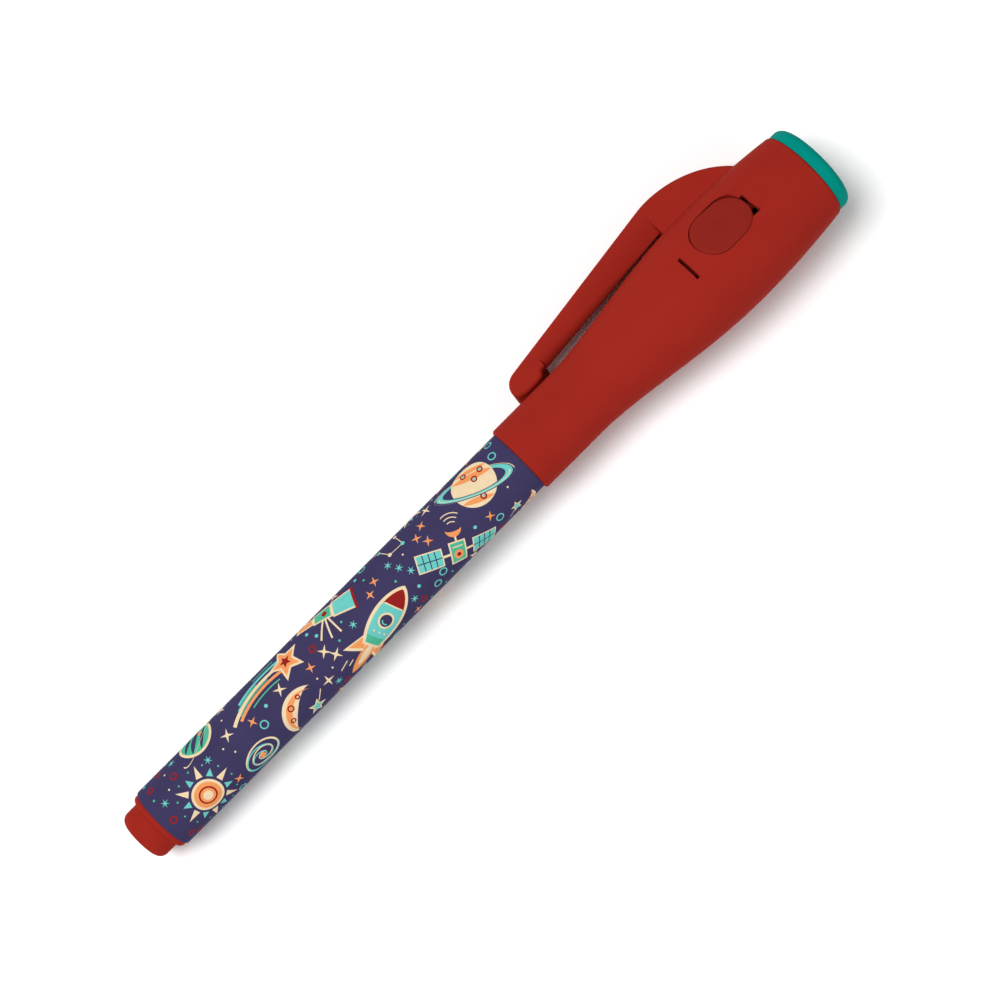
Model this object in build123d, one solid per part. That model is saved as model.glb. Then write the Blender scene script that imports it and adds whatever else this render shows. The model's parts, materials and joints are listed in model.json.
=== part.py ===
from build123d import *
import os
from math import asin, atan2, cos, degrees, hypot, radians, sqrt, tan

# A felt-tip pen for invisible ink, with an ultraviolet lamp in its cap.
# Every piece is drawn along the pen's own axis: x runs from the tail to the lamp,
# z points up through the button and y points out through the pocket clip.
# At the end the finished pen is laid on a table, as it comes to rest. Sizes are in millimetres.

# Clearances
push_gap = 0.03  # radial, between pieces pushed together for good
slide_gap = 0.04  # radial, between pieces that slide or turn on one another
seat_gap = 0.05  # between flat faces that close on each other
free_gap = 0.15  # round pieces that pass each other freely
pick_tolerance = 1e-3  # for finding an edge by where it lies

# Barrel
barrel_radius = 5.57
barrel_bore_radius = 4.5
barrel_length = 79.0
barrel_edge_rounding = 0.4

# End plug
plug_tip_radius = 4.45
plug_tip_length = 3.55
plug_tip_rounding = 1.4
plug_flange_radius = 5.3
plug_flange_length = 1.05
plug_flange_rounding = 0.7
plug_spigot_length = 6.0
plug_spigot_wall = 1.0

# Ink reservoir and nib
sleeve_radius = 4.2
sleeve_wall = 0.15
reservoir_overhang = 0.5  # fibre that stands out of each end of the sleeve
reservoir_end_gap = 0.3
nib_radius = 1.1
nib_point_length = 2.0
nib_point_radius = 0.5
nib_point_rounding = 0.4
nib_projection = 4.0
nib_depth_in_reservoir = 5.0

# Nib holder
skirt_length = 7.0
skirt_wall = 0.8
neck_radius = 4.6
neck_length = 12.5
neck_wall = 1.1
bead_height = 0.15
bead_length = 1.0
bead_setbacks = (2.2, 9.4)  # from the barrel's front end
cone_base_radius = 4.2
cone_tip_radius = 1.8
cone_length = 9.4

# Cap shell, outside
cap_mouth_radius = 6.13
cap_mouth_rounding = 0.5
cap_straight_length = 12.4
flare_length = 33.1
flare_start_pull = 9.0
flare_end_pull = 13.0
belly_radius = 9.26
cap_end_radius = 8.13
cap_end_rounding = 0.5

# Cap shell, inside
partition = 2.1
chamber_radius = 6.75

# Inner cap
inner_cap_wall = 0.95
inner_cap_floor = 1.0
inner_cap_setback = 1.9  # its lip stands this far beyond the neck
nib_room = 1.8  # between the nib's point and the inner cap's floor

# Button cells, their spring and contacts
cell_radius = 3.95
cell_height = 3.6
cell_edge = 0.25
cell_pole_radius = 3.1
cell_pole_height = 0.5
cell_names = ("cell_rear", "cell_middle", "cell_front")
cell_drop = 1.2  # the cells' axis lies this far below the pen's
spring_radius = 2.6
spring_wire = 0.4
spring_turns = 4.5
spring_length = 6.3
contact_thickness = 0.3
contact_radius = 3.2
strip_width = 3.0

# Cell holder and lamp holder
holder_wall = 1.2
roof_height = 3.6  # flat top of both holders, above the pen's axis
led_holder_length = 5.1
post_thickness = 1.0
post_length = 2.6

# Lamp
led_radius = 2.5
led_flange_radius = 2.9
led_flange_thickness = 1.0
led_length = 8.6
lead_width = 0.4
lead_spacing = 2.54
lead_bend_setback = 2.5  # behind the lamp's base
lead_contact_length = 2.5  # lies on the roof of the cell holder
anode_post_length = 4.6
cathode_cup_length = 4.0
cathode_cup_width = 1.5

# Lamp ring
ring_head_radius = 7.96
ring_head_length = 2.45
ring_head_rounding = 1.3
ring_spigot_length = 7.85
ring_spigot_wall = 1.25
ring_tube_wall = 1.05
ring_recess_depth = 5.0
dish_mouth_radius = 5.7
dish_floor_radius = 2.9
dish_depth = 4.1

# Screw through the shell into the lamp ring
screw_setback = 4.0  # behind the cap's end
screw_radius = 0.8
screw_length = 3.4
screw_head_radius = 1.65
screw_head_height = 0.9
screw_head_rounding = 0.3
screw_tip_chamfer = 0.4
screw_boss_width = 3.4
screw_floor = 0.6  # shell left under the head
driver_slot_length = 2.1
driver_slot_width = 0.45
driver_slot_depth = 0.45

# Button
button_length = 10.8
button_width = 7.8
button_ahead_of_belly = 1.9  # centre of the button
button_rear_height = 8.97  # top face above the axis, at the end towards the mouth
button_front_height = 7.85  # and at the end towards the lamp
button_base_height = 5.55
button_rounding = 0.35
button_side_gap = 0.1  # to the opening, at the sides and behind
button_front_gap = 0.5
window_end_width = 4.4  # the straight end of the opening, towards the lamp
window_end_shift = 0.7  # of that end, away from the clip
lip_width = 1.2
lip_length = 0.8  # under the shell
lip_step = 0.7  # where the lip shows in front of the button, it lies this much lower
tongue_width = 3.8
tongue_base_height = 5.2
tongue_thickness = 0.9
pivot_behind_button = 5.6
pivot_height = 5.2
pivot_radius = 0.65
pivot_length = 6.0
nub_from_pivot = 11.5
nub_radius = 0.8
nub_travel = 0.65

# Finger scoop and slit in the shell
scoop_radius = 4.7
scoop_depth = 1.6
slit_behind_button = 2.7
slit_width = 4.4
slit_length = 0.6
slit_shift = 1.4  # away from the clip

# Switch blade
blade_thickness = 0.25
blade_width = 3.0
blade_tab_length = 2.0
blade_root_behind_nub = 7.5
blade_ramp_length = 3.5
blade_beyond_nub = 1.8
blade_nub_gap = 0.06
blade_closed_gap = 0.05  # left over the lamp's leg when the button is down

# Pocket clip
clip_tip_from_mouth = 6.7
clip_shoulder_radius = 14.9  # outer face above the axis, where its straight run ends
clip_shoulder_behind_belly = 4.0
clip_slope = 7.8  # degrees, of the straight run
clip_crown_pull = 4.5
clip_heel_ahead_of_belly = 12.3
clip_heel_rise = 6.7
clip_heel_pull = 4.2
clip_root_width = 6.8
clip_tip_width = 5.2
clip_shoulder_thickness = 4.9
clip_tip_thickness = 3.7
clip_ridge_offset = 1.35  # the arm's inner side is a ridge, this far towards the button
clip_ridge_width = 0.3
clip_button_slope = 52.7  # degrees, from the ridge to the side towards the button
clip_far_slope = 30  # degrees, from the ridge to the other side
clip_bump_length = 6.8
clip_bump_gap = 0.1  # to the shell
clip_nose_drop = 2.4
clip_rounding = 0.7
clip_root_depth = 1.4  # how far the root goes into the shell's wall
clip_split_gap = 0.03

# Stations along the axis, from the tail
x_flange = plug_tip_length
x_barrel = x_flange + plug_flange_length
x_spigot_end = x_barrel + plug_spigot_length
x_mouth = x_barrel + barrel_length
x_skirt = x_mouth - skirt_length
x_neck_end = x_mouth + neck_length
x_cone_end = x_neck_end + cone_length
x_nib_end = x_cone_end + nib_projection
x_partition = x_nib_end + nib_room + inner_cap_floor
x_chamber = x_partition + partition
x_holder = x_chamber + seat_gap
x_rear_contact = x_holder + holder_wall
x_spring = x_rear_contact + contact_thickness
x_cells = x_spring + spring_length
x_front_contact = x_cells + len(cell_names) * cell_height
x_led_holder = x_front_contact + contact_thickness
x_led = x_led_holder + led_holder_length
x_ring = x_led + led_flange_thickness
x_cap_end = x_ring + ring_spigot_length
x_lamp_end = x_cap_end + ring_head_length
x_flare = x_mouth + cap_straight_length
x_belly = x_flare + flare_length
x_button = x_belly + button_ahead_of_belly
x_button_rear = x_button - button_length / 2
x_button_front = x_button + button_length / 2
x_window = x_button_front + button_front_gap
x_pivot = x_button_rear - pivot_behind_button
x_nub = x_pivot + nub_from_pivot
x_blade = x_nub - blade_root_behind_nub
x_screw = x_cap_end - screw_setback
x_clip_tip = x_mouth + clip_tip_from_mouth
x_bump = x_clip_tip + clip_bump_length
x_shoulder = x_belly - clip_shoulder_behind_belly
x_heel = x_belly + clip_heel_ahead_of_belly

# Radii and heights that follow from the fits
skirt_radius = barrel_bore_radius - push_gap
bead_radius = neck_radius + bead_height
cap_bore_radius = bead_radius + slide_gap
engine_radius = chamber_radius - free_gap
cell_bore_radius = cell_radius + free_gap
ring_spigot_radius = chamber_radius - push_gap
led_hole_radius = led_radius + push_gap
lead_slot_width = lead_width + 2 * slide_gap
blade_travel = nub_travel * (blade_root_behind_nub + blade_beyond_nub) / blade_root_behind_nub
blade_top = roof_height + lead_width + blade_closed_gap + blade_travel + blade_thickness


def turned(*points):
    """A solid of revolution about the pen's axis, from (x, radius) points of its half section."""
    return revolve(make_face(Polyline(*points, close=True)), Axis.X)


def rod(radius, x_start, x_end, height=0.0):
    """A round bar along the axis, its centre line at the given height."""
    bar = Cylinder(radius, x_end - x_start, rotation=(0, 90, 0))
    return Pos((x_start + x_end) / 2, 0, height) * bar


def block(x_start, x_end, width, z_low, z_high):
    """A rectangular block, centred across the pen."""
    box = Box(x_end - x_start, width, z_high - z_low)
    return Pos((x_start + x_end) / 2, 0, (z_low + z_high) / 2) * box


def hanging(radius, length):
    """An upright cylinder that hangs down from the origin."""
    return Cylinder(radius, length, align=(Align.CENTER, Align.CENTER, Align.MAX))


def standing(radius, length):
    """An upright cylinder that stands on the origin."""
    return Cylinder(radius, length, align=(Align.CENTER, Align.CENTER, Align.MIN))


def rims(solid, x, radius):
    """The circular edges of a turned solid at one station and radius."""
    circles = solid.edges().filter_by(GeomType.CIRCLE)
    at_station = circles.filter_by(lambda edge: abs(edge.arc_center.X - x) < pick_tolerance)
    return at_station.filter_by(lambda edge: abs(edge.radius - radius) < pick_tolerance)


def make_barrel():
    tube = rod(barrel_radius, x_barrel, x_mouth) - rod(barrel_bore_radius, x_barrel, x_mouth)
    return fillet(rims(tube, x_barrel, barrel_radius), barrel_edge_rounding)


def make_end_plug():
    spigot_radius = barrel_bore_radius - push_gap
    plug = turned(
        (0, 0),
        (0, plug_tip_radius),
        (x_flange, plug_tip_radius),
        (x_flange, plug_flange_radius),
        (x_barrel, plug_flange_radius),
        (x_barrel, spigot_radius),
        (x_spigot_end, spigot_radius),
        (x_spigot_end, spigot_radius - plug_spigot_wall),
        (x_barrel, spigot_radius - plug_spigot_wall),
        (x_barrel, 0),
    )
    plug = fillet(rims(plug, 0, plug_tip_radius), plug_tip_rounding)
    return fillet(rims(plug, x_flange, plug_flange_radius), plug_flange_rounding)


def reservoir_ends():
    return x_spigot_end + reservoir_end_gap, x_skirt - reservoir_end_gap


def make_reservoir_sleeve():
    rear, front = reservoir_ends()
    film = (rear + reservoir_overhang, front - reservoir_overhang)
    return rod(sleeve_radius, *film) - rod(sleeve_radius - sleeve_wall, *film)


def make_ink_reservoir():
    rear, front = reservoir_ends()
    fibre = rod(sleeve_radius - sleeve_wall, rear, front)
    return fibre - rod(nib_radius, front - nib_depth_in_reservoir, front)


def make_nib():
    rear = reservoir_ends()[1] - nib_depth_in_reservoir
    point = turned(
        (rear, 0),
        (rear, nib_radius),
        (x_nib_end - nib_point_length, nib_radius),
        (x_nib_end, nib_point_radius),
        (x_nib_end, 0),
    )
    return fillet(rims(point, x_nib_end, nib_point_radius), nib_point_rounding)


def make_nib_holder():
    skirt_bore = skirt_radius - skirt_wall
    neck_bore = neck_radius - neck_wall
    nib_bore = nib_radius + push_gap
    holder = turned(
        (x_skirt, skirt_bore),
        (x_skirt, skirt_radius),
        (x_mouth, skirt_radius),
        (x_mouth, neck_radius),
        (x_neck_end, neck_radius),
        (x_neck_end, cone_base_radius),
        (x_cone_end, cone_tip_radius),
        (x_cone_end, nib_bore),
        (x_neck_end, nib_bore),
        (x_neck_end - neck_wall, neck_bore),
        (x_mouth, neck_bore),
        (x_mouth, skirt_bore),
    )
    for setback in bead_setbacks:
        x_bead = x_mouth + setback
        holder += turned(
            (x_bead, neck_radius - bead_height),
            (x_bead, neck_radius),
            (x_bead + bead_length / 3, bead_radius),
            (x_bead + bead_length * 2 / 3, bead_radius),
            (x_bead + bead_length, neck_radius),
            (x_bead + bead_length, neck_radius - bead_height),
        )
    return holder


def make_inner_cap():
    radius = cap_bore_radius - push_gap
    cavity = radius - inner_cap_wall
    lip = x_neck_end + inner_cap_setback
    return turned(
        (lip, cavity),
        (lip, radius),
        (x_partition, radius),
        (x_partition, 0),
        (x_partition - inner_cap_floor, 0),
        (x_partition - inner_cap_floor, cavity),
    )


def shell_radius(x):
    """Outer radius of the shell between its belly and its lamp end, where it is one arc."""
    taper = x_cap_end - x_belly
    drop = belly_radius - cap_end_radius
    bow = (taper**2 + drop**2) / (2 * drop)
    return belly_radius - bow + sqrt(bow**2 - (x - x_belly) ** 2)


def flare_curve():
    """The S-curve from the straight grip of the cap to its belly."""
    return Bezier(
        (x_flare, cap_mouth_radius),
        (x_flare + flare_start_pull, cap_mouth_radius),
        (x_belly - flare_end_pull, belly_radius),
        (x_belly, belly_radius),
    )


def shell_blank():
    """The outside of the cap as one solid, with no hollows and its seam away from the clip."""
    x_start = x_mouth + seat_gap
    outline = [
        Line((x_start, 0), (x_start, cap_mouth_radius)),
        Line((x_start, cap_mouth_radius), (x_flare, cap_mouth_radius)),
        flare_curve(),
        TangentArc((x_belly, belly_radius), (x_cap_end, cap_end_radius), tangent=(1, 0)),
        Line((x_cap_end, cap_end_radius), (x_cap_end, 0)),
        Line((x_cap_end, 0), (x_start, 0)),
    ]
    blank = Rot(X=180) * revolve(make_face(outline), Axis.X)
    blank = fillet(rims(blank, x_start, cap_mouth_radius), cap_mouth_rounding)
    return fillet(rims(blank, x_cap_end, cap_end_radius), cap_end_rounding)


def clip_outer_radius(x):
    """Outer face of the clip's straight run."""
    return clip_shoulder_radius + (x - x_shoulder) * tan(radians(clip_slope))


def clip_inner_radius(x):
    """Inner face of the clip, straight from the bump to the end of its slot."""
    at_bump = clip_outer_radius(x_bump) - clip_tip_thickness
    at_shoulder = clip_shoulder_radius - clip_shoulder_thickness
    return at_bump + (x - x_bump) * (at_shoulder - at_bump) / (x_shoulder - x_bump)


def clip_crown():
    """The rounded back of the clip, from its shoulder down to its heel in the shell's wall."""
    x_pull = x_shoulder + clip_crown_pull * cos(radians(clip_slope))
    heel_radius = shell_radius(x_heel) - clip_root_depth
    return Bezier(
        (x_shoulder, clip_shoulder_radius),
        (x_pull, clip_outer_radius(x_pull)),
        (x_heel - clip_heel_pull, heel_radius + clip_heel_rise),
        (x_heel, heel_radius),
    )


def clip_blank():
    """The clip with its root, one piece from the tip to the heel inside the shell's wall."""
    heel = (x_heel, shell_radius(x_heel) - clip_root_depth)
    root_foot = (x_shoulder, belly_radius - clip_root_depth)
    slot_end = (x_shoulder, clip_inner_radius(x_shoulder))
    bump_radius = cap_mouth_radius + clip_bump_gap
    bump_start = (x_bump, clip_inner_radius(x_bump))
    bump_low = (x_clip_tip + clip_bump_length / 2, bump_radius)
    nose = (x_clip_tip, clip_outer_radius(x_clip_tip) - clip_nose_drop)
    nose_end = (x_clip_tip + clip_nose_drop, clip_outer_radius(x_clip_tip + clip_nose_drop))
    shoulder = (x_shoulder, clip_shoulder_radius)
    outline = [
        Line(nose_end, shoulder),
        clip_crown(),
        Polyline(heel, root_foot, slot_end, bump_start),
        Bezier(
            bump_start,
            (x_bump - clip_bump_length / 4, bump_start[1]),
            (x_bump, bump_radius),
            bump_low,
        ),
        Bezier(bump_low, (x_clip_tip, bump_radius), nose),
        TangentArc(nose, nose_end, tangent=(0, 1)),
    ]
    clip = Pos(0, 0, -clip_root_width / 2) * extrude(make_face(outline), clip_root_width)
    return clip - clip_taper(1) - clip_taper(-1)


def clip_half_width(x):
    """Half the width of the clip, which narrows from its shoulder to its tip."""
    narrowing = (clip_root_width - clip_tip_width) / 2 / (x_shoulder - x_clip_tip)
    return min(clip_root_width / 2, clip_tip_width / 2 + narrowing * (x - x_clip_tip))


def clip_taper(side):
    """What is cut from one side of the clip to narrow it from its shoulder to its tip."""
    x_past = x_clip_tip - clip_tip_width
    wedge = make_face(
        Polyline(
            (x_past, side * clip_half_width(x_past)),
            (x_shoulder, side * clip_root_width / 2),
            (x_shoulder, side * clip_root_width),
            (x_past, side * clip_root_width),
            close=True,
        )
    )
    return Rot(X=-90) * extrude(wedge, 2 * clip_shoulder_radius)


def clip_ridge(x, side):
    """One edge of the ridge along the arm's inner side."""
    return Vector(x, clip_inner_radius(x), clip_ridge_offset + side * clip_ridge_width / 2)


def clip_bevel(side, slope):
    """What is cut from the arm on one side of its ridge, from the bump to the root."""
    start = clip_ridge(x_bump, side)
    end = clip_ridge(x_shoulder, side)
    width = side * 2 * clip_root_width
    rise = abs(width) * tan(radians(slope))
    corners = [start, start + Vector(0, rise, width), start + Vector(0, -rise, width)]
    return extrude(make_face(Polyline(*corners, close=True)), (end - start).length, dir=end - start)


def make_clip():
    """The arm of the clip, as far as its root."""
    blank = clip_blank() & clip_side_of_split()
    edges = blank.edges().filter_by(lambda edge: abs(edge.center().Z) > clip_tip_width / 4)
    x_arm_end = x_shoulder - clip_split_gap
    long_edges = edges.filter_by(lambda edge: edge.center().X < x_arm_end - pick_tolerance)
    arm = fillet(long_edges, clip_rounding)
    return arm - clip_bevel(1, clip_button_slope) - clip_bevel(-1, clip_far_slope)


def clip_side_of_split():
    reach = 4 * clip_shoulder_radius
    return Pos(x_shoulder - clip_split_gap - reach / 2, 0, 0) * Box(reach, reach, reach)


def make_cap_shell():
    blank = shell_blank()
    reach = 4 * clip_shoulder_radius
    root = clip_blank() - Pos(x_shoulder - reach / 2, 0, 0) * Box(reach, reach, reach)
    shell = blank + root
    sides = shell.edges().filter_by(lambda edge: edge.center().Y > belly_radius)
    side_height = clip_root_width / 2 - pick_tolerance
    sides = sides.filter_by(lambda edge: abs(edge.center().Z) > side_height)
    sides = sides.filter_by(lambda edge: edge.geom_type != GeomType.LINE)
    seams = new_edges(blank, root, combined=shell)
    seams = seams.filter_by(lambda edge: edge.center().X > x_shoulder + pick_tolerance)
    shell = fillet(sides + seams, clip_rounding)
    shell -= rod(cap_bore_radius, x_mouth, x_partition)
    shell -= rod(chamber_radius, x_chamber, x_cap_end)
    scoop_height = shell_radius(x_button_front) - scoop_depth + scoop_radius
    shell -= Pos(x_button_front, 0, scoop_height) * Sphere(scoop_radius)
    shell -= button_window()
    slit = block(
        x_button_rear - slit_behind_button - slit_length,
        x_button_rear - slit_behind_button,
        slit_width,
        0,
        2 * belly_radius,
    )
    shell -= Pos(0, -slit_shift, 0) * slit
    return shell - screw_hole()


def button_window():
    """The opening for the button: the button's outline, squared off at the lamp end."""
    outline = SlotOverall(button_length + 2 * button_side_gap, button_width + 2 * button_side_gap)
    oval = Pos(x_button, 0, 0) * extrude(outline, 2 * belly_radius)
    end = block(x_button, x_window, window_end_width, 0, 2 * belly_radius)
    return oval + Pos(0, -window_end_shift, 0) * end


def screw_seat():
    """Depth below the axis of the shoulder that the screw's head stands on."""
    return chamber_radius + screw_floor


def screw_hole():
    """The stepped hole for the screw, from below."""
    shank = hanging(screw_radius + free_gap, belly_radius)
    head = hanging(screw_head_radius + free_gap, belly_radius)
    return Pos(x_screw, 0, 0) * shank + Pos(x_screw, 0, -screw_seat()) * head


def make_ring_screw():
    head = hanging(screw_head_radius, screw_head_height)
    head = fillet(head.edges().group_by(Axis.Z)[0], screw_head_rounding)
    shank = standing(screw_radius, screw_length)
    shank = chamfer(shank.edges().group_by(Axis.Z)[-1], screw_tip_chamfer)
    slot = Box(driver_slot_length, driver_slot_width, driver_slot_depth)
    slot = Pos(0, 0, driver_slot_depth / 2 - screw_head_height) * slot
    screw = head + shank - slot - Rot(Z=90) * slot
    return Pos(x_screw, 0, -screw_seat()) * screw


def make_lamp_ring():
    """Ring with the reflector dish, hollowed from behind round the tube that grips the lamp."""
    ring = turned(
        (x_ring, led_hole_radius),
        (x_ring, ring_spigot_radius),
        (x_cap_end, ring_spigot_radius),
        (x_cap_end, ring_head_radius),
        (x_lamp_end, ring_head_radius),
        (x_lamp_end, dish_mouth_radius),
        (x_lamp_end - dish_depth, dish_floor_radius),
        (x_lamp_end - dish_depth, led_hole_radius),
    )
    ring = fillet(rims(ring, x_lamp_end, ring_head_radius), ring_head_rounding)
    x_recess = x_ring + ring_recess_depth
    recess = rod(ring_spigot_radius - ring_spigot_wall, x_ring, x_recess)
    recess -= rod(led_hole_radius + ring_tube_wall, x_ring, x_recess)
    recess -= block(x_ring, x_recess, screw_boss_width, -ring_spigot_radius, 0)
    pilot_top = -screw_seat() + screw_length + free_gap
    pilot = hanging(screw_radius + push_gap, chamber_radius)
    return ring - recess - Pos(x_screw, 0, pilot_top) * pilot


def make_anode_lead():
    """The lamp's upper leg: out of its base, up, and back over the roof of the cell holder."""
    low = (lead_spacing - lead_width) / 2
    x_bend = x_led - lead_bend_setback
    x_rear = x_front_contact - lead_contact_length
    roof_top = roof_height + lead_width
    lead = block(x_bend, x_led + anode_post_length, lead_width, low, low + lead_width)
    lead += block(x_bend, x_bend + lead_width, lead_width, low, roof_top)
    return lead + block(x_rear, x_bend, lead_width, roof_height, roof_top)


def make_cathode_lead():
    """The lamp's lower leg, straight back to the front contact, with the cup inside the lamp."""
    height = -lead_spacing / 2
    low = height - lead_width / 2
    x_cup_end = x_led + cathode_cup_length
    x_cup = x_cup_end - cathode_cup_width
    lead = block(x_led_holder, x_cup_end, lead_width, low, low + lead_width)
    return lead + block(x_cup, x_cup_end, lead_width, height, height + cathode_cup_width)


def make_uv_led():
    """The lamp: a clear dome on a flange, cast round its two legs."""
    x_tip = x_led + led_length
    outline = [
        Polyline((x_tip, 0), (x_led, 0), (x_led, led_flange_radius), (x_ring, led_flange_radius)),
        Polyline((x_ring, led_flange_radius), (x_ring, led_radius), (x_tip - led_radius, led_radius)),
        RadiusArc((x_tip - led_radius, led_radius), (x_tip, 0), led_radius),
    ]
    return revolve(make_face(outline), Axis.X) - make_anode_lead() - make_cathode_lead()


def holder_blank(x_start, x_end):
    """A round bar that fits the lamp chamber, with a flat roof."""
    under_roof = block(x_start, x_end, 2 * engine_radius, -engine_radius, roof_height)
    return rod(engine_radius, x_start, x_end) & under_roof


def make_led_holder():
    holder = holder_blank(x_led_holder, x_led)
    anode_low = (lead_spacing - lead_slot_width) / 2
    cathode_low = -(lead_spacing + lead_slot_width) / 2
    x_bend = x_led - lead_bend_setback - slide_gap
    holder -= block(x_led_holder, x_led, lead_slot_width, cathode_low, cathode_low + lead_slot_width)
    return holder - block(x_bend, x_led, lead_slot_width, anode_low, roof_height)


def make_cell_holder():
    """Cradle for the cells, closed at the back, with the button's two posts on its roof."""
    holder = holder_blank(x_holder, x_front_contact)
    holder -= rod(cell_bore_radius, x_rear_contact, x_front_contact, -cell_drop)
    riser_width = strip_width + 2 * slide_gap
    holder -= block(x_rear_contact, x_spring + slide_gap, riser_width, 0, roof_height)
    post_top = pivot_height + pivot_radius / 2
    x_post = x_pivot - post_length / 2
    post = block(x_post, x_post + post_length, post_thickness, roof_height, post_top)
    for side in (1, -1):
        holder += Pos(0, side * (pivot_length - post_thickness) / 2, 0) * post
    socket = Rot(X=90) * Cylinder(pivot_radius + slide_gap, 2 * pivot_length)
    return holder - Pos(x_pivot, 0, pivot_height) * socket


def make_cell(x_start):
    """A button cell, its smaller pole towards the spring."""
    x_can = x_start + cell_pole_height
    x_end = x_start + cell_height
    cell = turned(
        (x_start, 0),
        (x_start, cell_pole_radius),
        (x_can, cell_pole_radius),
        (x_can, cell_radius),
        (x_end, cell_radius),
        (x_end, 0),
    )
    can_edges = rims(cell, x_can, cell_radius) + rims(cell, x_end, cell_radius)
    return Pos(0, 0, -cell_drop) * fillet(can_edges, cell_edge)


def make_cell_spring():
    """Coil spring between the rear contact and the cells, one unbroken wire."""
    wire = spring_wire / 2
    height = spring_length - spring_wire
    coil = Helix(pitch=height / spring_turns, height=height, radius=spring_radius)
    section = Plane(origin=coil @ 0, z_dir=coil % 0) * Circle(wire)
    spring = sweep(section, path=coil)
    return Pos(x_spring + wire, 0, -cell_drop) * Rot(Y=90) * spring


def make_rear_contact():
    """Stamped strip: a disc behind the spring, a riser, and a run over the cell holder's roof."""
    disc = rod(contact_radius, x_rear_contact, x_spring, -cell_drop)
    strip_top = roof_height + contact_thickness
    riser = block(x_rear_contact, x_spring, strip_width, -cell_drop, strip_top)
    return disc + riser + block(x_rear_contact, x_blade, strip_width, roof_height, strip_top)


def make_front_contact():
    return rod(contact_radius, x_front_contact, x_led_holder, -cell_drop)


def make_switch_blade():
    """Springy strip welded to the rear contact, which rises under the button's nub."""
    tab_top = roof_height + contact_thickness + blade_thickness
    x_level = x_blade + blade_ramp_length
    x_end = x_nub + blade_beyond_nub
    top_line = [
        (x_blade - blade_tab_length, tab_top),
        (x_blade, tab_top),
        (x_level, blade_top),
        (x_end, blade_top),
    ]
    bottom_line = [(x, z - blade_thickness) for x, z in reversed(top_line)]
    side_view = make_face(Polyline(*top_line, *bottom_line, close=True))
    return Pos(0, blade_width / 2, 0) * Rot(X=90) * extrude(side_view, blade_width)


def make_light_button():
    """Oval push button: a sloping pad, a lip that holds it in, a tongue with a pivot bar."""
    pad = extrude(SlotOverall(button_length, button_width), 2 * belly_radius - button_base_height)
    pad = Pos(x_button, 0, button_base_height) * pad
    slope = (button_rear_height - button_front_height) / button_length
    rear_edge = (x_button_rear, 0, button_rear_height)
    pad = split(pad, bisect_by=Plane(origin=rear_edge, z_dir=(slope, 0, 1)), keep=Keep.BOTTOM)
    pad = fillet(pad.faces().sort_by(Axis.Z)[-1].edges(), button_rounding)
    x_lip = x_window + lip_length
    lip = block(x_button, x_lip, lip_width, button_base_height, engine_radius)
    lip &= rod(engine_radius, x_button, x_lip)
    lip -= block(x_button_front, x_window, lip_width, engine_radius - lip_step, engine_radius)
    tongue_top = tongue_base_height + tongue_thickness
    half_button = button_width / 2
    x_tongue = x_button_rear + 2 * (half_button - sqrt(half_button**2 - (tongue_width / 2) ** 2))
    tongue = block(x_pivot, x_tongue, tongue_width, tongue_base_height, tongue_top)
    bar = Pos(x_pivot, 0, pivot_height) * Rot(X=90) * Cylinder(pivot_radius, pivot_length)
    nub_foot = blade_top + blade_nub_gap
    nub = standing(nub_radius, button_base_height - nub_foot)
    return pad + lip + tongue + bar + Pos(x_nub, 0, nub_foot) * nub


parts = {
    "barrel": make_barrel(),
    "end_plug": make_end_plug(),
    "ink_reservoir": make_ink_reservoir(),
    "reservoir_sleeve": make_reservoir_sleeve(),
    "nib_holder": make_nib_holder(),
    "nib": make_nib(),
    "cap_shell": make_cap_shell(),
    "clip": make_clip(),
    "inner_cap": make_inner_cap(),
    "light_button": make_light_button(),
    "switch_blade": make_switch_blade(),
    "lamp_ring": make_lamp_ring(),
    "ring_screw": make_ring_screw(),
    "uv_led": make_uv_led(),
    "anode_lead": make_anode_lead(),
    "cathode_lead": make_cathode_lead(),
    "led_holder": make_led_holder(),
    "cell_holder": make_cell_holder(),
    "cell_spring": make_cell_spring(),
    "rear_contact": make_rear_contact(),
    "front_contact": make_front_contact(),
}
for index, cell_name in enumerate(cell_names):
    parts[cell_name] = make_cell(x_cells + index * cell_height)


def rest_angles():
    """Pitch and roll, in degrees, at which the tail, the belly and the clip all touch a table."""
    steps = 400
    samples = [step / steps for step in range(steps + 1)]
    flare = [flare_curve() @ sample for sample in samples]
    pitch = max(atan2(point.Y - barrel_radius, point.X - x_barrel) for point in flare)
    crest = max((clip_crown() @ sample for sample in samples), key=lambda point: point.Y)
    table_depth = barrel_radius + (crest.X - x_barrel) * tan(pitch)
    reach = crest.Y - clip_rounding
    half_width = clip_root_width / 2 - clip_rounding
    roll = asin((table_depth - clip_rounding) / hypot(reach, half_width)) - atan2(half_width, reach)
    return degrees(pitch), degrees(roll)


rest_pitch, rest_roll = rest_angles()
tilt = Rot(Y=-rest_pitch) * Rot(X=-rest_roll)
footprint = Compound([tilt * solid for solid in parts.values()]).bounding_box()
middle = footprint.center()
laid = Pos(-middle.X, -middle.Y, -footprint.min.Z) * tilt

os.makedirs("parts", exist_ok=True)
for name, solid in parts.items():
    export_step(laid * solid, f"parts/{name}.step")
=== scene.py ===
import json
from math import atan2, cos, pi, radians, sin, sqrt

import bmesh
import bpy
from mathutils import Matrix, Vector
from mathutils.kdtree import KDTree


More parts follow.
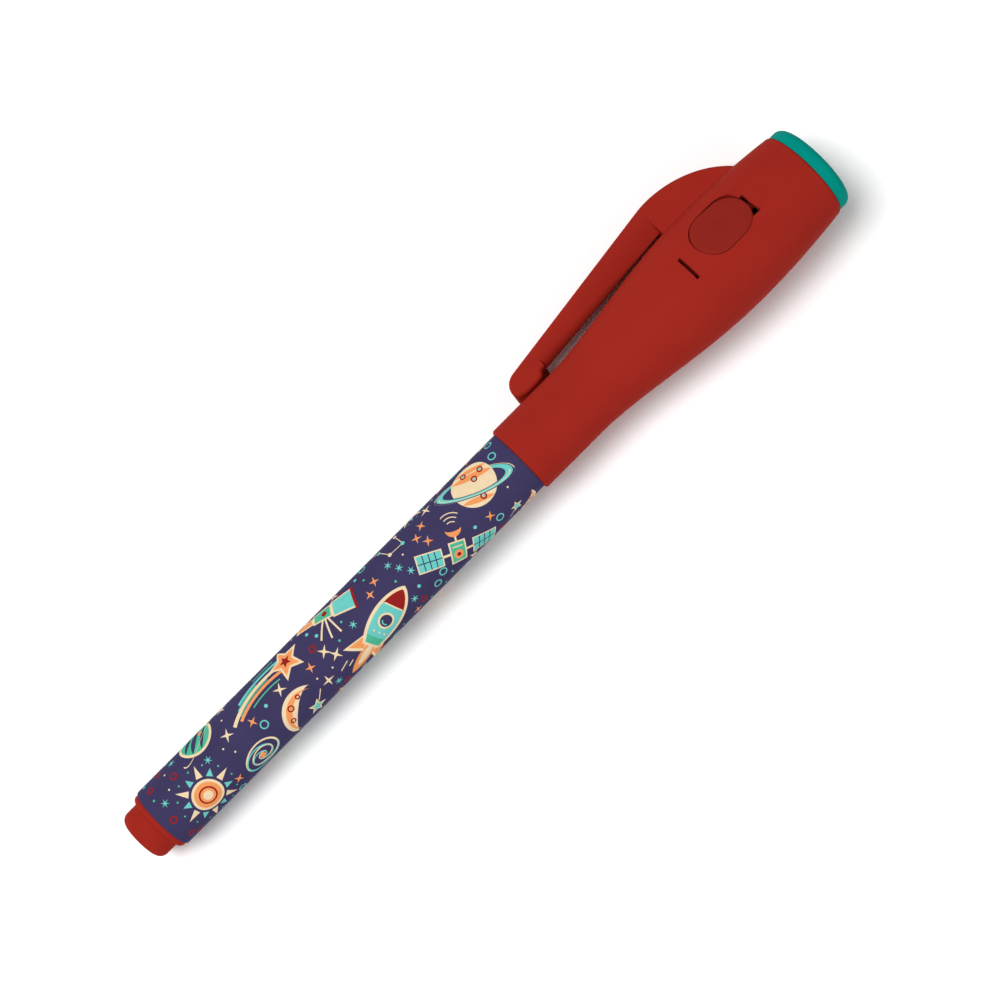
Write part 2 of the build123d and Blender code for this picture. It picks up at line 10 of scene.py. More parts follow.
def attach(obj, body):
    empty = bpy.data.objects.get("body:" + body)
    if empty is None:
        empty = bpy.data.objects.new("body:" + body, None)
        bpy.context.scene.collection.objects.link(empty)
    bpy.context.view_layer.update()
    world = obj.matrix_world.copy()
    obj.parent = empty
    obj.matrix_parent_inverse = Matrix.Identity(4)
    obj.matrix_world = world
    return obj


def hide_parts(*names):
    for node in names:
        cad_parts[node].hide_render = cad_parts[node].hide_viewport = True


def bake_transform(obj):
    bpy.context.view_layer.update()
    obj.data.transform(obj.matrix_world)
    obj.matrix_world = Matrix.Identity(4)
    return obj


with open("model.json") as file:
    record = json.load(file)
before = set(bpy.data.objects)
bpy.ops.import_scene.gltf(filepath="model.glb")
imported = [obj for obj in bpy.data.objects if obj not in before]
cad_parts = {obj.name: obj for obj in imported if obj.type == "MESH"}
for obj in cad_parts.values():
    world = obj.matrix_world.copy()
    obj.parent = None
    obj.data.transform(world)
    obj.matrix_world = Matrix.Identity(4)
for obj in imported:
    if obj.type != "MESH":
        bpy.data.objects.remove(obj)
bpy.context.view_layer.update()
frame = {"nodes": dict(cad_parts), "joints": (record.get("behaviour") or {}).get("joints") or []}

# Barrel
# A drawn plastic tube with a satin navy coat that carries the print. It is open at both ends: the plug
# is pushed into the tail and the nib holder into the front. Sizes of pieces are in millimetres.
mm = 0.001
barrel_radius = 5.57
barrel_length = 79.0


def dress(material, *nodes):
    """Gives CAD nodes their finish."""
    for node in nodes:
        frame["nodes"][node].data.materials.clear()
        frame["nodes"][node].data.materials.append(material)


def srgb(*levels):
    """A colour as a screen shows it, from 0 to 255, in the linear numbers that shaders take."""
    shares = [level / 255 for level in levels]
    linear = [share / 12.92 if share < 0.04045 else ((share + 0.055) / 1.055) ** 2.4 for share in shares]
    return (*linear, 1)


def finish(name, shade, colour, patch, gloss, grain, depth):
    """A surface with patches from shade to colour, an uneven gloss and a fine grain.

    The size of the patches, the size of the grain and its depth are in millimetres.
    Gloss is the roughness of the shiniest and of the dullest spots."""
    weakest, strongest = 0.3, 0.7  # the noise seldom leaves this range
    material = bpy.data.materials.new(name)
    material.use_nodes = True
    nodes = material.node_tree.nodes
    link = material.node_tree.links.new
    shader = nodes["Principled BSDF"]
    place = nodes.new("ShaderNodeTexCoord")
    patches = nodes.new("ShaderNodeTexNoise")
    patches.inputs["Scale"].default_value = 1 / (patch * mm)
    patches.inputs["Detail"].default_value = 5
    link(place.outputs["Object"], patches.inputs["Vector"])
    tint = nodes.new("ShaderNodeValToRGB")
    tint.color_ramp.elements[0].position = weakest
    tint.color_ramp.elements[0].color = shade
    tint.color_ramp.elements[1].position = strongest
    tint.color_ramp.elements[1].color = colour
    link(patches.outputs["Fac"], tint.inputs["Fac"])
    link(tint.outputs["Color"], shader.inputs["Base Color"])
    dulling = nodes.new("ShaderNodeMapRange")
    dulling.inputs["From Min"].default_value = weakest
    dulling.inputs["From Max"].default_value = strongest
    dulling.inputs["To Min"].default_value = gloss[0]
    dulling.inputs["To Max"].default_value = gloss[1]
    link(patches.outputs["Fac"], dulling.inputs["Value"])
    link(dulling.outputs["Result"], shader.inputs["Roughness"])
    speckle = nodes.new("ShaderNodeTexNoise")
    speckle.inputs["Scale"].default_value = 1 / (grain * mm)
    link(place.outputs["Object"], speckle.inputs["Vector"])
    relief = nodes.new("ShaderNodeBump")
    relief.inputs["Distance"].default_value = depth * mm
    link(speckle.outputs["Fac"], relief.inputs["Height"])
    link(relief.outputs["Normal"], shader.inputs["Normal"])
    return material


def shader_of(material):
    return material.node_tree.nodes["Principled BSDF"]


def satin(name, shade, colour, **surface):
    """A finish for the outside of the pen, which mirrors next to nothing."""
    shine = 0.006
    material = finish(name, shade, colour, **surface)
    shader_of(material).inputs["Specular IOR Level"].default_value = shine
    return material


navy = srgb(65, 59, 96)
navy_coat = satin("navy_coat", srgb(61, 55, 91), navy, patch=6, gloss=(0.42, 0.5), grain=0.25, depth=0.004)
dress(navy_coat, "barrel")

# Print on the barrel
# Six inks rolled on round the tube: planets, rockets, moons and stars in a night sky. Each ink is a film
# of a hundredth of a millimetre, so what is printed later lies over what was printed first.
ink_colours = {
    "ivory": srgb(240, 216, 176),
    "turquoise": srgb(110, 204, 196),
    "mint": srgb(82, 186, 150),
    "coral": srgb(243, 156, 96),
    "red": srgb(150, 36, 34),
    "navy": navy,
}
thin_ink = 0.93
film_thickness = 0.01
film_root = 0.03
facet_width = 0.4
round_segments = 48
sheets = {ink: bmesh.new() for ink in ink_colours}


def stamp(place, ink, layer, flat, x=0.0, y=0.0, turn=0.0, wide=1.0, high=1.0):
    """Puts a flat shape of a motif on its ink's sheet, at the height of its layer."""
    spot = Matrix.Translation((x, y, 0)) @ Matrix.Rotation(radians(turn), 4, "Z")
    spot = place @ spot @ Matrix.Diagonal((wide, high, 1, 1))
    spot = Matrix.Translation((0, 0, layer * film_thickness)) @ spot
    bmesh.ops.transform(flat, matrix=spot, verts=flat.verts)
    carrier = bpy.data.meshes.new("flat")
    flat.to_mesh(carrier)
    flat.free()
    sheets[ink].from_mesh(carrier)
    bpy.data.meshes.remove(carrier)


def disc(radius):
    flat = bmesh.new()
    bmesh.ops.create_circle(flat, cap_ends=True, radius=radius, segments=round_segments)
    return flat


def hoop(radius, width, start=0.0, sweep=360.0):
    """A round stroke: a short radial edge spun about the middle."""
    flat = bmesh.new()
    ends = [flat.verts.new((radius + side * width / 2, 0, 0)) for side in (-1, 1)]
    edge = flat.edges.new(ends)
    bmesh.ops.rotate(flat, verts=ends, matrix=Matrix.Rotation(radians(start), 3, "Z"))
    bmesh.ops.spin(
        flat,
        geom=[edge, *ends],
        axis=(0, 0, 1),
        angle=radians(sweep),
        steps=round_segments,
        use_merge=sweep == 360,
    )
    bmesh.ops.recalc_face_normals(flat, faces=flat.faces)
    return flat


def bar(length, width):
    flat = bmesh.new()
    bmesh.ops.create_grid(flat, x_segments=1, y_segments=1, size=0.5)
    bmesh.ops.scale(flat, vec=(length, width, 1), verts=flat.verts)
    return flat


def star(points, outer, inner):
    flat = bmesh.new()
    rim = bmesh.ops.create_circle(flat, cap_ends=True, radius=outer, segments=2 * points)["verts"]
    share = inner / outer
    bmesh.ops.scale(flat, vec=(share, share, 1), verts=rim[1::2])
    return flat


def leaf(length, width, cut=None):
    """A shape with two pointed ends. With a cut, only its front end from that x on."""
    flat = bmesh.new()
    rim = bmesh.ops.create_circle(flat, cap_ends=True, radius=1, segments=round_segments)["verts"]
    for vert in rim:
        vert.co.y *= sqrt(abs(vert.co.y))
    bmesh.ops.scale(flat, vec=(length / 2, width / 2, 1), verts=rim)
    if cut is not None:
        whole = flat.verts[:] + flat.edges[:] + flat.faces[:]
        bmesh.ops.bisect_plane(flat, geom=whole, plane_co=(cut, 0, 0), plane_no=(1, 0, 0), clear_inner=True)
    return flat


def crescent(radius, hollow):
    """A disc whose right half is folded back, hollow telling how far."""
    flat = bmesh.new()
    rim = bmesh.ops.create_circle(flat, cap_ends=True, radius=radius, segments=round_segments)["verts"]
    for vert in rim:
        if vert.co.x > 0:
            vert.co.x *= -hollow
    return flat


def panel(*corners):
    flat = bmesh.new()
    flat.faces.new([flat.verts.new((x, y, 0)) for x, y in corners])
    return flat


def ringed_planet(place):
    tilt = 0.3
    stamp(place, "ivory", 1, hoop(6.9, 0.16), high=tilt)
    stamp(place, "turquoise", 1, hoop(6.0, 1.2), high=tilt)
    stamp(place, "ivory", 2, disc(3.8))
    stamp(place, "coral", 3, leaf(6.9, 1.2), y=1.3)
    stamp(place, "coral", 3, leaf(5.6, 0.8), y=2.5)
    stamp(place, "coral", 3, leaf(5.2, 0.9), y=-2.7)
    for x, y in ((-1.3, 2.0), (1.7, 1.9), (0.4, 0.7), (0.9, -2.4)):
        stamp(place, "red", 4, hoop(0.42, 0.24), x=x, y=y)
        stamp(place, "turquoise", 4, disc(0.2), x=x, y=y)
    stamp(place, "navy", 4, hoop(6.0, 1.9, 180, 180), high=tilt)
    stamp(place, "turquoise", 5, hoop(6.0, 1.2, 180, 180), high=tilt)
    stamp(place, "ivory", 6, hoop(6.1, 0.2, 180, 180), high=tilt)


def rocket(place):
    stamp(place, "coral", 1, leaf(6.4, 2.2), x=-6.0)
    stamp(place, "ivory", 2, leaf(4.2, 1.2), x=-5.6)
    for side in (1, -1):
        stamp(place, "ivory", 1, panel((-1.6, side * 1.4), (-6.4, side * 3.8), (-5.2, side * 0.7)))
        stamp(place, "coral", 2, panel((-2.4, side * 1.6), (-5.7, side * 3.2), (-4.8, side * 1.0)))
        stamp(place, "ivory", 1, bar(1.8, 0.16), x=-8.4, y=side * 2.4)
        stamp(place, "ivory", 1, bar(1.1, 0.16), x=-7.6, y=side * 1.6)
    stamp(place, "ivory", 3, leaf(12.4, 5.2, -4.2))
    stamp(place, "turquoise", 4, leaf(11.2, 4.2, -3.8))
    stamp(place, "red", 5, leaf(11.2, 4.2, 2.7))
    stamp(place, "ivory", 6, bar(0.22, 3.1), x=2.7)
    stamp(place, "mint", 5, panel((-3.8, -1.35), (-2.6, -1.65), (-2.6, 1.65), (-3.8, 1.35)))
    stamp(place, "ivory", 5, disc(1.3), x=0.3)
    stamp(place, "navy", 6, disc(0.98), x=0.3)
    stamp(place, "turquoise", 7, hoop(0.6, 0.2, 100, 120), x=0.3)
    for step in range(3):
        stamp(place, "ivory", 5, disc(0.16), x=-1.75, y=step - 1)


def moon_and_star(place):
    stamp(place, "ivory", 1, crescent(3.9, 0.4))
    stamp(place, "coral", 2, crescent(3.4, 0.72), x=0.1)
    for x, y, size in ((-2.6, 0.5, 0.42), (-2.1, -1.4, 0.34), (-1.7, 2.2, 0.28)):
        stamp(place, "red", 3, hoop(size, 0.2), x=x, y=y)
    stamp(place, "ivory", 1, bar(0.14, 2.0), x=1.6, y=2.2)
    stamp(place, "ivory", 1, star(5, 1.5, 0.68), x=1.6, y=0.2, turn=90)
    stamp(place, "turquoise", 2, star(5, 1.0, 0.44), x=1.6, y=0.2, turn=90)


def bright_sun(place):
    rays = 12
    stamp(place, "ivory", 1, disc(2.5))
    stamp(place, "coral", 2, disc(2.1))
    stamp(place, "red", 3, hoop(1.3, 0.26))
    stamp(place, "ivory", 3, disc(0.75))
    for ray in range(rays):
        ink, reach = (("ivory", 4.9), ("turquoise", 4.1))[ray % 2]
        stamp(place, ink, 1, panel((2.9, -0.52), (reach, 0), (2.9, 0.52)), turn=ray * 360 / rays)
        angle = radians((ray + 0.5) * 360 / rays)
        stamp(place, "mint", 1, disc(0.15), x=4.6 * cos(angle), y=4.6 * sin(angle))


def comet(place):
    bend = 13.0
    tails = (("ivory", 0.0, 0.5, 48), ("turquoise", 0.9, 0.42, 38), ("coral", -0.9, 0.42, 41))
    for ink, shift, width, sweep in tails:
        stamp(place, ink, 1, hoop(bend, width, 90, sweep), y=shift - bend)
    for shift, start, sweep in ((1.7, 98, 16), (-1.7, 97, 22), (0.45, 112, 18), (-0.45, 104, 26)):
        stamp(place, "mint", 1, hoop(bend, 0.18, start, sweep), y=shift - bend)
    stamp(place, "ivory", 2, star(5, 2.7, 1.3), turn=20)
    stamp(place, "coral", 3, star(5, 2.05, 0.95), turn=20)
    stamp(place, "red", 4, star(5, 0.9, 0.4), turn=20)


def satellite(place):
    for side in (1, -1):
        stamp(place, "ivory", 1, bar(2.4, 0.4), x=side * 2.2)
        stamp(place, "ivory", 1, bar(4.4, 3.0), x=side * 4.8)
        stamp(place, "turquoise", 2, bar(4.0, 2.6), x=side * 4.8)
        for column in (-1, 0, 1):
            stamp(place, "navy", 3, bar(0.16, 2.6), x=side * 4.8 + column)
        stamp(place, "navy", 3, bar(4.0, 0.16), x=side * 4.8)
    stamp(place, "ivory", 3, bar(2.8, 3.8))
    stamp(place, "mint", 4, bar(2.3, 3.3))
    stamp(place, "coral", 5, disc(0.8), y=-0.4)
    stamp(place, "red", 6, disc(0.35), y=-0.4)
    stamp(place, "ivory", 5, bar(1.7, 0.2), y=1.0)
    stamp(place, "ivory", 1, bar(0.3, 1.2), y=2.3)
    stamp(place, "coral", 2, crescent(1.3, 0.35), y=3.9, turn=90)
    for ripple in range(3):
        stamp(place, "ivory", 1, hoop(1.1 + 0.7 * ripple, 0.16, 55, 70), y=3.9)


def telescope(place):
    tubes = ((-5.6, -2.2, 0.75, "coral"), (-2.2, 1.4, 1.15, "mint"), (1.4, 5.6, 1.6, "turquoise"))
    for turn in (-112, -90, -68):
        foot = radians(turn)
        stamp(place, "ivory", 1, bar(4.6, 0.3), x=2.3 * cos(foot), y=2.3 * sin(foot), turn=turn)
    for rear, front, half, ink in tubes:
        flared = half * 1.15
        edge = 0.28
        stamp(place, "ivory", 2, panel((rear, -half), (front, -flared), (front, flared), (rear, half)))
        stamp(
            place,
            ink,
            3,
            panel(
                (rear + edge, edge - half),
                (front - edge, edge - flared),
                (front - edge, flared - edge),
                (rear + edge, half - edge),
            ),
        )
    stamp(place, "red", 4, bar(0.5, 3.9), x=5.5)
    stamp(place, "red", 4, disc(0.5))


def swirl(place):
    """A galaxy: half rounds of growing radius, joined end to end."""
    step = 0.62
    for turn, ink in ((0, "ivory"), (180, "turquoise")):
        for half in range(5):
            radius = step * (half + 1.2)
            shift = step * (half % 2)
            stamp(
                place @ Matrix.Rotation(radians(turn), 4, "Z"),
                ink,
                1,
                hoop(radius, 0.2 + 0.04 * half, 180 * (half % 2), 180),
                x=shift,
                high=0.72,
            )
    stamp(place, "coral", 2, disc(0.5))


def striped_globe(place):
    stamp(place, "ivory", 1, disc(2.9))
    stamp(place, "mint", 2, disc(2.5))
    for y, length, width in ((1.3, 4.1, 0.7), (0.1, 4.9, 0.9), (-1.3, 4.1, 0.6)):
        stamp(place, "navy", 3, leaf(length, width), y=y)
    stamp(place, "coral", 3, disc(0.4), x=0.8, y=-0.75)
    stamp(place, "ivory", 4, hoop(4.3, 0.18, 170, 200), turn=-20, high=0.3)
    stamp(place, "coral", 4, disc(0.45), x=4.0, y=-1.6)


def constellation(place):
    stars = ((-4.4, 0.6), (-2.2, 1.8), (0, 0.5), (1.6, -1.4), (4.0, -0.9), (3.1, 1.5))
    for (x, y), (next_x, next_y) in zip(stars, stars[1:]):
        length = sqrt((next_x - x) ** 2 + (next_y - y) ** 2)
        turn = atan2(next_y - y, next_x - x) * 180 / pi
        stamp(place, "ivory", 1, bar(length, 0.12), x=(x + next_x) / 2, y=(y + next_y) / 2, turn=turn)
    for index, (x, y) in enumerate(stars):
        stamp(place, "ivory" if index % 2 else "turquoise", 2, disc(0.32), x=x, y=y)


# Each motif's middle, along the barrel from its tail and round it from the line that faces up, with its
# turn in degrees, its size, and how far from its middle small marks keep.
motifs = (
    (bright_sun, 8.4, -2.6, 12, 1.05, 3.0),
    (striped_globe, 12.6, 6.3, 60, 1.15, 3.4),
    (swirl, 18.6, -4.6, 10, 1.0, 3.6),
    (comet, 31.2, 4.0, -15, 1.2, 2.6),
    (moon_and_star, 28.4, -4.6, -45, 1.1, 4.2),
    (telescope, 40.6, 5.4, -20, 1.0, 2.4),
    (rocket, 46.4, -3.2, 18, 1.05, 3.2),
    (constellation, 53.0, 6.2, -15, 1.1, 2.0),
    (satellite, 62.2, -3.6, -28, 1.0, 2.6),
    (ringed_planet, 71.2, 2.6, -24, 1.0, 4.0),
    (moon_and_star, 74.4, -6.6, 120, 0.75, 3.2),
    (bright_sun, 60.6, 9.8, 0, 0.75, 2.4),
    (ringed_planet, 27.0, 12.6, 25, 0.85, 3.6),
    (rocket, 9.6, 14.2, -30, 0.85, 3.0),
    (swirl, 43.0, 13.4, 40, 0.9, 3.4),
    (comet, 50.6, 14.4, 170, 1.0, 2.6),
    (striped_globe, 70.4, 14.0, -20, 1.0, 3.2),
    (telescope, 21.0, -12.4, 30, 0.9, 2.4),
    (constellation, 8.0, -11.6, 15, 1.0, 2.0),
    (striped_globe, 43.0, -12.0, -40, 1.0, 3.2),
    (bright_sun, 55.4, -12.8, 8, 0.95, 2.8),
    (satellite, 34.0, -16.0, 8, 0.85, 2.4),
    (comet, 73.6, -13.8, -20, 1.0, 2.6),
)
placed = []
for draw, along_barrel, round_barrel, turn, size, reach in motifs:
    spot = Matrix.Translation((along_barrel, round_barrel, 0))
    draw(spot @ Matrix.Rotation(radians(turn), 4, "Z") @ Matrix.Scale(size, 4))
    placed.append((along_barrel, round_barrel, reach))

# Small marks fill what is left, on an even but irregular spread.
small_marks = (
    ("turquoise", disc, (0.3,)),
    ("ivory", star, (4, 1.15, 0.28)),
    ("mint", disc, (0.2,)),
    ("turquoise", hoop, (0.62, 0.2)),
    ("coral", star, (4, 0.9, 0.24)),
    ("mint", disc, (0.2,)),
    ("red", hoop, (0.5, 0.26)),
    ("turquoise", star, (6, 0.75, 0.2)),
    ("ivory", disc, (0.16,)),
)
spread_steps = (0.7548776662, 0.5698402910)
barrel_girth = 2 * pi * barrel_radius
end_margin = 1.6
mark_reach = 0.95
mark_tries = 900
drawn = [vert.co.copy() for sheet in sheets.values() for vert in sheet.verts]
outlines = KDTree(3 * len(drawn))
for lap in (-1, 0, 1):
    for point in drawn:
        outlines.insert((point.x, point.y + lap * barrel_girth, 0), 0)
outlines.balance()
for count in range(mark_tries):
    shares = [(0.5 + count * step) % 1 for step in spread_steps]
    along_barrel = end_margin + shares[0] * (barrel_length - 2 * end_margin)
    round_barrel = (shares[1] - 0.5) * barrel_girth
    clear = outlines.find((along_barrel, round_barrel, 0))[2] > mark_reach
    for other_along, other_round, reach in placed:
        gap_round = (round_barrel - other_round + barrel_girth / 2) % barrel_girth - barrel_girth / 2
        clear = clear and (along_barrel - other_along) ** 2 + gap_round**2 > (reach + mark_reach) ** 2
    if clear:
        ink, draw, measures = small_marks[len(placed) % len(small_marks)]
        spot = Matrix.Translation((along_barrel, round_barrel, 0))
        stamp(spot @ Matrix.Rotation(count, 4, "Z"), ink, 1, draw(*measures))
        placed.append((along_barrel, round_barrel, mark_reach))

# The pen lies on its side, and new pieces are drawn in its own frame, which the joints give: x runs from
# the mouth of the cap to the lamp, y points out through the clip and z out through the button.
joints = {joint["name"]: joint for joint in frame["joints"]}
along = Vector(joints["cap_pull"]["axis"])
clipward = Vector(joints["button_press"]["axis"])
buttonward = along.cross(clipward)
cap_mouth = Vector(joints["cap_pull"]["pos_m"])
pen_axes = Matrix((along, clipward, buttonward)).transposed().to_4x4()
pen_to_table = Matrix.Translation(cap_mouth) @ pen_axes @ Matrix.Scale(mm, 4)
skyward = (Vector((0, 0, 1)) - along * along.z).normalized()


def add_piece(name, shape, material):
    """Lays a shape that was drawn in the pen's frame on the table, as an object of its own."""
    sharp_edge = 30
    bmesh.ops.transform(shape, matrix=pen_to_table, verts=shape.verts)
    mesh = bpy.data.meshes.new(name)
    shape.to_mesh(mesh)
    shape.free()
    mesh.materials.append(material)
    mesh.shade_smooth()
    mesh.set_sharp_from_angle(angle=radians(sharp_edge))
    piece = bpy.data.objects.new(name, mesh)
    bpy.context.scene.collection.objects.link(piece)
    return piece


# The sheets are creased into narrow facets, given their underside and rolled round the tube.
facing_up = atan2(skyward.dot(clipward), skyward.dot(buttonward))
crease_count = int(barrel_girth / facet_width)
crease_snap = 1e-5
for ink, sheet in sheets.items():
    for crease in range(-crease_count, crease_count):
        whole = sheet.verts[:] + sheet.edges[:] + sheet.faces[:]
        bmesh.ops.bisect_plane(
            sheet,
            geom=whole,
            dist=crease_snap,
            plane_co=(0, crease * facet_width, 0),
            plane_no=(0, 1, 0),
        )
    grown = bmesh.ops.extrude_face_region(sheet, geom=sheet.faces[:])
    for vert in grown["geom"]:
        if isinstance(vert, bmesh.types.BMVert):
            vert.co.z = -film_root
    for vert in sheet.verts:
        angle = facing_up + vert.co.y / barrel_radius
        radius = barrel_radius + vert.co.z
        vert.co = (vert.co.x - barrel_length, radius * sin(angle), radius * cos(angle))
    bmesh.ops.recalc_face_normals(sheet, faces=sheet.faces)
    colour = ink_colours[ink]
    thin = tuple(thin_ink * level for level in colour[:3])
    ink_film = satin(
        f"{ink}_ink", (*thin, 1), colour,
        patch=1.2, gloss=(0.44, 0.54), grain=0.12, depth=0.003,
    )
    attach(add_piece(f"print_{ink}", sheet, ink_film), "pen")

# End plug
# A red plastic plug, moulded in one piece, pushed into the tail of the barrel. Its flange stops it.
red_plastic = satin(
    "red_plastic", srgb(154, 39, 30), srgb(158, 41, 31),
    patch=9, gloss=(0.44, 0.53), grain=0.3, depth=0.006,
)
dress(red_plastic, "end_plug")

# Ink reservoir
# A bundle of white fibre that holds the ink, in a sleeve of clear film. It stands loose in the barrel.
fibre = finish(
    "reservoir_fibre", srgb(224, 222, 212), srgb(238, 237, 230),
    patch=0.8, gloss=(0.8, 0.95), grain=0.15, depth=0.03,
)
dress(fibre, "ink_reservoir")
clear_film = finish(
    "clear_film", srgb(235, 238, 240), srgb(246, 248, 250),
    patch=5, gloss=(0.1, 0.2), grain=0.5, depth=0.002,
)
shader_of(clear_film).inputs["Transmission Weight"].default_value = 0.9
dress(clear_film, "reservoir_sleeve")

# Nib holder and nib
# The holder is moulded in white plastic and pushed into the front of the barrel. Two beads round its neck
# grip the cap. The nib is a rod of pressed fibre, ground to a point and pushed in from the front.
white_plastic = finish(
    "white_plastic", srgb(226, 225, 219), srgb(236, 235, 230),
    patch=7, gloss=(0.4, 0.5), grain=0.3, depth=0.004,
)
dress(white_plastic, "nib_holder")
nib_fibre = finish(
    "nib_fibre", srgb(214, 209, 192), srgb(236, 232, 218),
    patch=0.35, gloss=(0.75, 0.95), grain=0.08, depth=0.02,
)
dress(nib_fibre, "nib")

# Inner cap
# A cup of natural, milky plastic, pushed to the bottom of the cap so that the nib can't dry out.
milky_plastic = finish(
    "milky_plastic", srgb(222, 225, 222), srgb(233, 236, 234),
    patch=6, gloss=(0.35, 0.45), grain=0.4, depth=0.004,
)
shader_of(milky_plastic).inputs["Subsurface Weight"].default_value = 0.3
shader_of(milky_plastic).inputs["Subsurface Scale"].default_value = 0.001
dress(milky_plastic, "inner_cap")

# Cap shell
# One red moulding: the straight grip, the flare, the belly with the window for the button, and the root
# of the clip. The mould's spark-eroded surface leaves it satin.
dress(red_plastic, "cap_shell")

# Light button
# A separate oval moulding in the same red, a little darker, that tips down at its lamp end.
button_red = satin(
    "button_red", srgb(139, 38, 30), srgb(145, 40, 32),
    patch=7, gloss=(0.46, 0.54), grain=0.3, depth=0.006,
)
dress(button_red, "light_button")

# Pocket clip
# The springing arm of the clip, moulded in one piece with the cap. It bends where it leaves its root, and
# the merged copy of its mesh is cut into slices along that bend.
root_gap = 0.03
root_overlap = 0.05
clip_root = (Vector(joints["clip_flex"]["pos_m"]) - cap_mouth).dot(along) / mm + root_gap
clip_bend_length = 6.0
clip_bend_cuts = 12
clip_seam = 0.0005
clip_arm = bmesh.new()
clip_arm.from_mesh(frame["nodes"]["clip"].data)
bmesh.ops.transform(clip_arm, matrix=pen_to_table.inverted(), verts=clip_arm.verts)
bmesh.ops.remove_doubles(clip_arm, verts=clip_arm.verts, dist=clip_seam)
for cut in range(1, clip_bend_cuts + 1):
    whole = clip_arm.verts[:] + clip_arm.edges[:] + clip_arm.faces[:]
    station = clip_root - clip_bend_length * cut / clip_bend_cuts
    bmesh.ops.bisect_plane(clip_arm, geom=whole, plane_co=(station, 0, 0), plane_no=(1, 0, 0))
root_face = [vert for vert in clip_arm.verts if vert.co.x > clip_root - 2 * root_gap]
bmesh.ops.translate(clip_arm, vec=(root_gap + root_overlap, 0, 0), verts=root_face)
pocket_clip = add_piece("pocket_clip", clip_arm, red_plastic)
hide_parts("clip")
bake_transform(pocket_clip)

# Switch, cells and their contacts
# Three nickel-plated button cells in a row in a black cradle, pressed together by a coil spring between two
# plated contacts. The button bends a springy blade down on the lamp's leg to close the circuit.
nickel = finish(
    "nickel_can", srgb(196, 196, 194), srgb(208, 208, 205),
    patch=2, gloss=(0.22, 0.34), grain=0.1, depth=0.002,
)
spring_steel = finish(
    "spring_steel", srgb(188, 184, 172), srgb(203, 199, 188),
    patch=1.5, gloss=(0.2, 0.32), grain=0.1, depth=0.002,
)
contact_steel = finish(
    "contact_steel", srgb(198, 195, 186), srgb(210, 208, 200),
    patch=2, gloss=(0.25, 0.36), grain=0.1, depth=0.002,
)
tinned_wire = finish(
    "tinned_wire", srgb(198, 198, 196), srgb(214, 214, 212),
    patch=1, gloss=(0.28, 0.4), grain=0.1, depth=0.002,
)
zinc_plate = finish(
    "zinc_plate", srgb(182, 184, 186), srgb(200, 202, 204),
    patch=1, gloss=(0.28, 0.4), grain=0.1, depth=0.003,
)
for metal in (nickel, spring_steel, contact_steel, tinned_wire, zinc_plate):
    shader_of(metal).inputs["Metallic"].default_value = 1
dress(nickel, "cell_rear", "cell_middle", "cell_front")
dress(spring_steel, "cell_spring", "switch_blade")
dress(contact_steel, "rear_contact", "front_contact")
dress(tinned_wire, "anode_lead", "cathode_lead")
dress(zinc_plate, "ring_screw")
black_plastic = finish(
    "black_plastic", srgb(24, 24, 25), srgb(32, 32, 33),
    patch=6, gloss=(0.45, 0.55), grain=0.3, depth=0.004,
)
dress(black_plastic, "led_holder", "cell_holder")

# Lamp
# A 5 mm ultraviolet lamp: clear resin cast round its two legs, with a faint violet tint.
clear_resin = finish(
    "clear_resin", srgb(236, 234, 250), srgb(244, 242, 255),
    patch=3, gloss=(0.03, 0.06), grain=0.4, depth=0.001,
)
shader_of(clear_resin).inputs["Transmission Weight"].default_value = 1
shader_of(clear_resin).inputs["IOR"].default_value = 1.52
dress(clear_resin, "uv_led")

# Lamp ring
# A teal moulding that closes the cap: a plain rounded rim outside, and inside it the dish round the lamp.
teal_plastic = satin(
    "teal_plastic", srgb(2, 138, 127), srgb(4, 143, 131),
    patch=7, gloss=(0.42, 0.5), grain=0.3, depth=0.005,
)
dress(teal_plastic, "lamp_ring")

# Table and light
# A pale table top in a pale room. To the camera, and in mirrors and glass, both are white where nothing
# shades them. A broad lamp hangs over the clip's side, and a low one fills in from the other side.
# Their sizes are in metres.
table_half_width = 0.45
table_drop = 0.00001
table_colour = (0.97, 0.97, 0.97, 1)
table_seen_colour = (1.15, 1.15, 1.15, 1)
room_level = 0.2


def seen_rays(tree):
    """1 for the camera's rays and for those that mirrors and glass send on, and 0 for light."""
    rays = tree.nodes.new("ShaderNodeLightPath")
    seen = rays.outputs["Is Camera Ray"]
    for sent_on in ("Is Glossy Ray", "Is Transmission Ray"):
        either = tree.nodes.new("ShaderNodeMath")
        either.operation = "MAXIMUM"
        tree.links.new(seen, either.inputs[0])
        tree.links.new(rays.outputs[sent_on], either.inputs[1])
        seen = either.outputs["Value"]
    return seen


table = bmesh.new()
bmesh.ops.create_grid(table, x_segments=1, y_segments=1, size=table_half_width)
bmesh.ops.translate(table, vec=(0, 0, -table_drop), verts=table.verts)
table_mesh = bpy.data.meshes.new("table_top")
table.to_mesh(table_mesh)
table.free()
table_top = bpy.data.objects.new("table_top", table_mesh)
bpy.context.scene.collection.objects.link(table_top)
pale = bpy.data.materials.new("pale_table")
pale.use_nodes = True
pale_nodes = pale.node_tree.nodes
pale_link = pale.node_tree.links.new
pale_nodes.remove(pale_nodes["Principled BSDF"])
table_paint = pale_nodes.new("ShaderNodeBsdfDiffuse")
table_paint.inputs["Color"].default_value = table_colour
table_white = pale_nodes.new("ShaderNodeBsdfDiffuse")
table_white.inputs["Color"].default_value = table_seen_colour
table_look = pale_nodes.new("ShaderNodeMixShader")
pale_link(seen_rays(pale.node_tree), table_look.inputs["Fac"])
pale_link(table_paint.outputs["BSDF"], table_look.inputs[1])
pale_link(table_white.outputs["BSDF"], table_look.inputs[2])
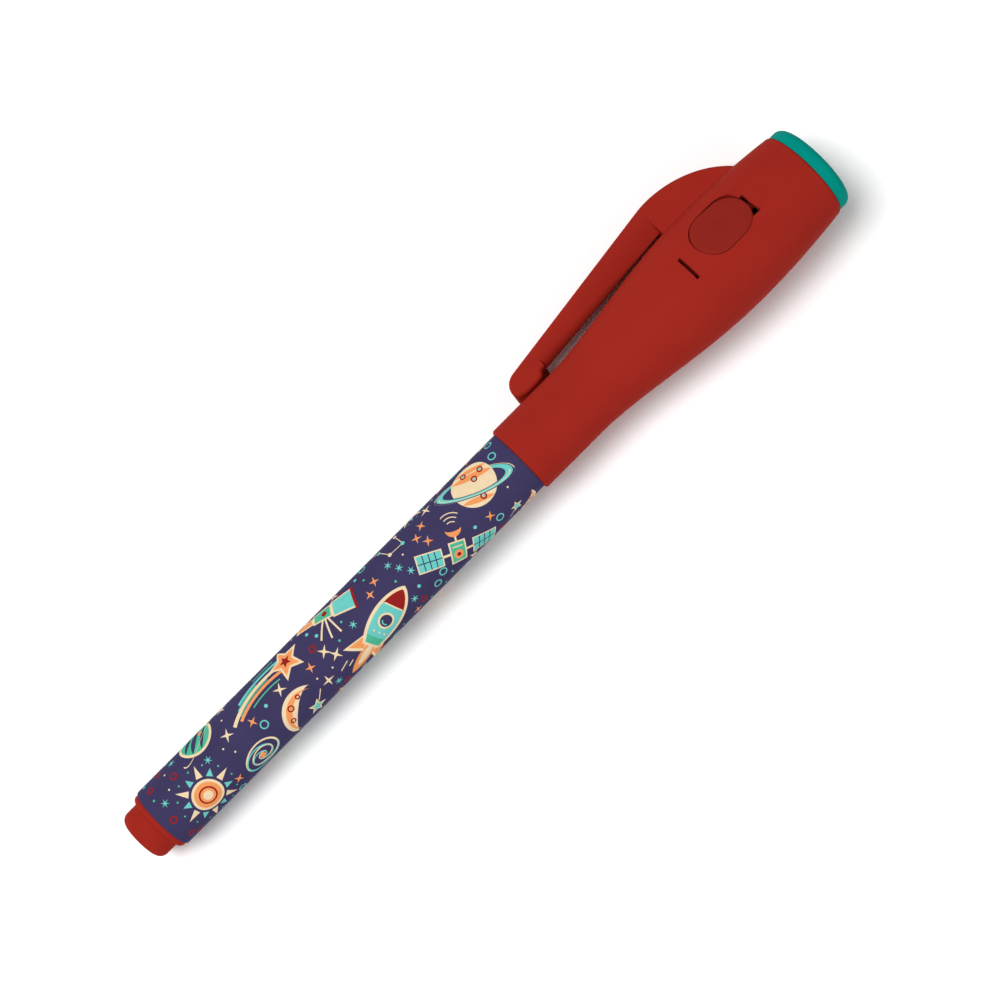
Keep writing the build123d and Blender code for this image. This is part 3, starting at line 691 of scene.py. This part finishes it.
pale_link(table_look.outputs["Shader"], pale_nodes["Material Output"].inputs["Surface"])
table_mesh.materials.append(pale)

room = bpy.data.worlds.new("room")
room.use_nodes = True
room_nodes = room.node_tree.nodes
room_link = room.node_tree.links.new
room_glow = room_nodes.new("ShaderNodeMapRange")
room_glow.inputs["To Min"].default_value = room_level
room_link(seen_rays(room.node_tree), room_glow.inputs["Value"])
room_nodes["Background"].inputs["Color"].default_value = (1, 1, 1, 1)
room_link(room_glow.outputs["Result"], room_nodes["Background"].inputs["Strength"])
bpy.context.scene.world = room


def add_lamp(name, place, size, watts):
    """A square lamp that faces the pen."""
    lamp_data = bpy.data.lights.new(name, "AREA")
    lamp_data.size = size
    lamp_data.energy = watts
    lamp = bpy.data.objects.new(name, lamp_data)
    lamp.location = place
    lamp.rotation_euler = (-lamp.location).to_track_quat("-Z", "Y").to_euler()
    bpy.context.scene.collection.objects.link(lamp)


add_lamp("broad_lamp", place=(-0.45, 0.5, 1.28), size=0.75, watts=18.6)
add_lamp("fill_lamp", place=(0.25, -1.15, 0.55), size=0.9, watts=6.2)

# Camera
# It looks almost straight down on the pen, turned so that the pen points to the upper right of the picture.
camera_behind_mouth = 16.3
camera_height = 370
aim_behind_mouth = 6.5
aim_across = 2.26
pen_in_picture = (0.7059, 0.7083)
lens_length = 84.9
sensor_width = 36
sideways = skyward.cross(along)
eye = cap_mouth - along * camera_behind_mouth * mm + skyward * camera_height * mm
aim = cap_mouth - along * aim_behind_mouth * mm - sideways * aim_across * mm
back = (eye - aim).normalized()
upright = along * pen_in_picture[1] + sideways * pen_in_picture[0]
upright = (upright - back * upright.dot(back)).normalized()
camera_data = bpy.data.cameras.new("camera")
camera_data.sensor_width = sensor_width
camera_data.lens = lens_length
camera = bpy.data.objects.new("camera", camera_data)
turned = Matrix((upright.cross(back), upright, back)).transposed().to_4x4()
camera.matrix_world = Matrix.Translation(eye) @ turned
bpy.context.scene.collection.objects.link(camera)
bpy.context.scene.camera = camera
bpy.context.scene.view_settings.view_transform = "Standard"
